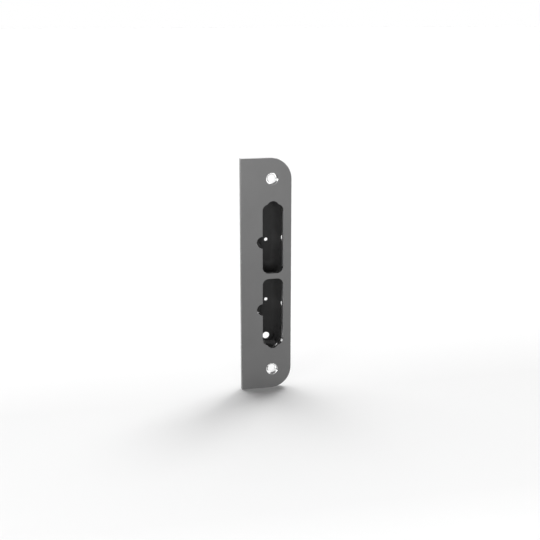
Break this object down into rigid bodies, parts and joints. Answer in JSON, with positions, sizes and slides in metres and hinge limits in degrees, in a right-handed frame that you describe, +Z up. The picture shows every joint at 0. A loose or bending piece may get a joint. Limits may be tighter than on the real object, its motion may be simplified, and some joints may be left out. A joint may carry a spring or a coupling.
{
  "type": "door strike plate",
  "caption": "Flat metal strike plate with countersunk screw holes and a moulded dust box that forms a pocket behind each opening.",
  "frame": {"origin": "on the face plate's back face, midway between the two countersunk screw holes", "axes": "+X right as seen from the door, +Y into the door frame, +Z up along the plate"},
  "size_m": [0.043, 0.0245, 0.2],
  "materials": {
    "plate_metal": "satin, even grey",
    "box_plastic": "black moulded, slightly glossy"
  },
  "bodies": {
    "root": {"face_plate": "plate_metal", "strike_box": "box_plastic"}
  },
  "joints": []
}
